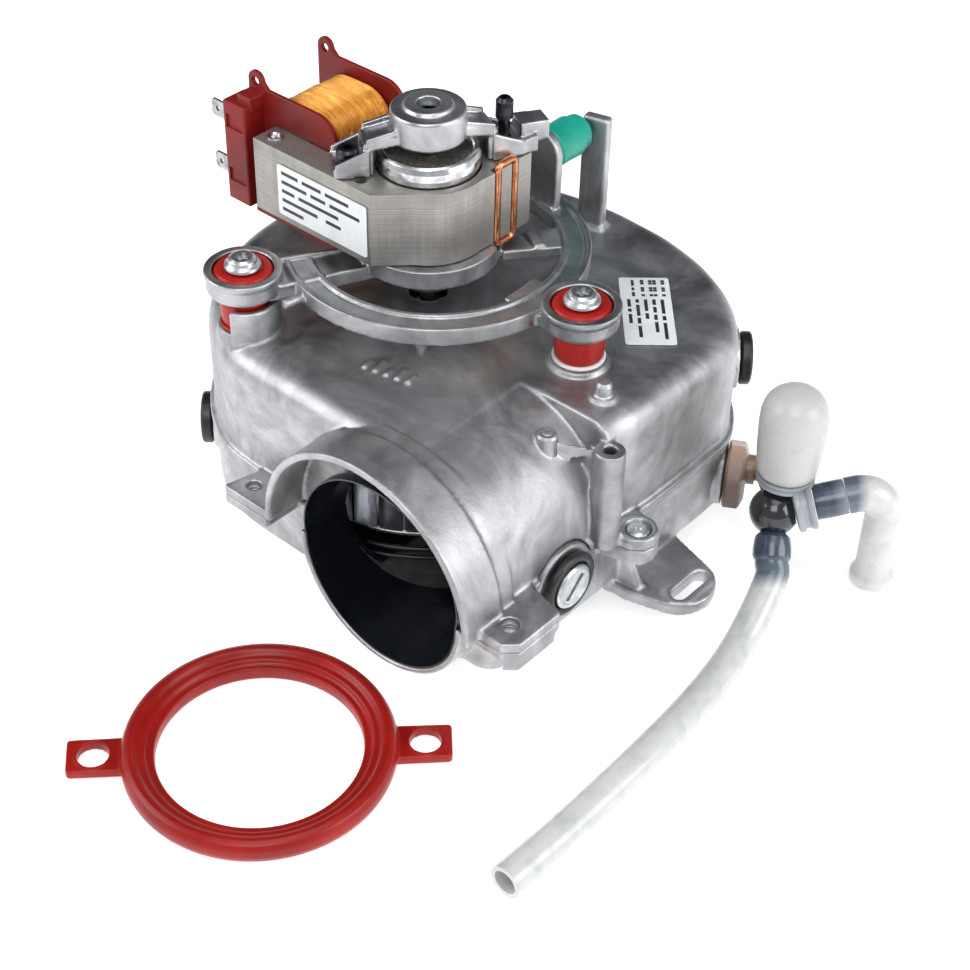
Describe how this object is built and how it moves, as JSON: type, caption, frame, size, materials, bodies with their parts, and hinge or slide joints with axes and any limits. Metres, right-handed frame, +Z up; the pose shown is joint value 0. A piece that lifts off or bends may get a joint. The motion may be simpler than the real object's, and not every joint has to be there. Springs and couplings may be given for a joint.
{
  "type": "combustion fan",
  "caption": "Centrifugal combustion fan: die-cast scroll casing with round outlet, open shaded-pole motor on rubber dampers, condensate trap with drain hose, and a loose outlet seal.",
  "frame": {"origin": "centre of the bounding box's bottom face, on the surface the fan stands on, measured without the drain hose", "axes": "+Z up along the motor shaft, away from the inlet; -Y the way the outlet faces; +X towards the condensate trap's side"},
  "size_m": [0.2448, 0.2804, 0.1606],
  "materials": {
    "cast_aluminium": "as-cast, fine grain",
    "lamination_steel": "stamped stack, thin oxide",
    "zinc_plate": "bright zinc plate",
    "dark_steel": "blackened",
    "copper": "bare copper wire",
    "enamelled_wire": "amber wrap over enamelled copper",
    "red_moulding": "moulded",
    "red_rubber": "moulded",
    "red_silicone": "moulded, satin",
    "teal_rubber": "moulded",
    "black_rubber": "moulded",
    "black_plastic": "moulded",
    "brown_plastic": "moulded",
    "milky_plastic": "translucent",
    "smoke_plastic": "translucent, tinted",
    "label_white": "blank paper label"
  },
  "bodies": {
    "fan": {"bearing_bridge": "cast_aluminium", "bridge_screw_front": "dark_steel", "bridge_screw_rear": "dark_steel", "casing_screw": "zinc_plate", "coil_bobbin": "red_moulding", "coil_winding": "enamelled_wire", "condensate_pot": "milky_plastic", "core_leg": "lamination_steel", "damper_bush_left": "red_rubber", "damper_bush_rear": "red_rubber", "damper_bush_right": "red_rubber", "damper_screw_left": "zinc_plate", "damper_screw_rear": "zinc_plate", "damper_screw_right": "zinc_plate", "data_label": "label_white", "drain_fitting": "brown_plastic", "drain_hose": "milky_plastic", "elbow_hose": "milky_plastic", "elbow_insert": "smoke_plastic", "hose_insert": "smoke_plastic", "inlet_nozzle": "black_plastic", "left_plug": "black_plastic", "lower_bearing": "dark_steel", "lower_casing": "cast_aluminium", "motor_bracket": "cast_aluminium", "motor_label": "label_white", "right_plug": "black_plastic", "shading_ring_front": "copper", "shading_ring_rear": "copper", "side_plug": "zinc_plate", "side_plug_o_ring": "black_rubber", "spade_terminal_lower": "zinc_plate", "spade_terminal_upper": "zinc_plate", "stator_stack": "lamination_steel", "stop_buffer": "teal_rubber", "trap_body": "smoke_plastic", "upper_bearing": "dark_steel", "upper_casing": "cast_aluminium", "valve_body": "black_plastic"},
    "rotor": {"impeller": "zinc_plate", "impeller_nut": "zinc_plate", "motor_shaft": "zinc_plate", "rotor_core": "lamination_steel", "rotor_end_ring": "zinc_plate"},
    "seal": {"seal_ring": "red_silicone"}
  },
  "joints": [
    {"name": "rotor_spin", "type": "hinge", "parent": "fan", "child": "rotor", "pos_m": [-0.04087, 0.04874, 0.06], "axis": [0, 0, 1], "continuous": true},
    {"name": "seal_lift", "type": "slide", "parent": "fan", "child": "seal", "axis": [0, 0, 1], "range_m": [0, 0.05]}
  ]
}
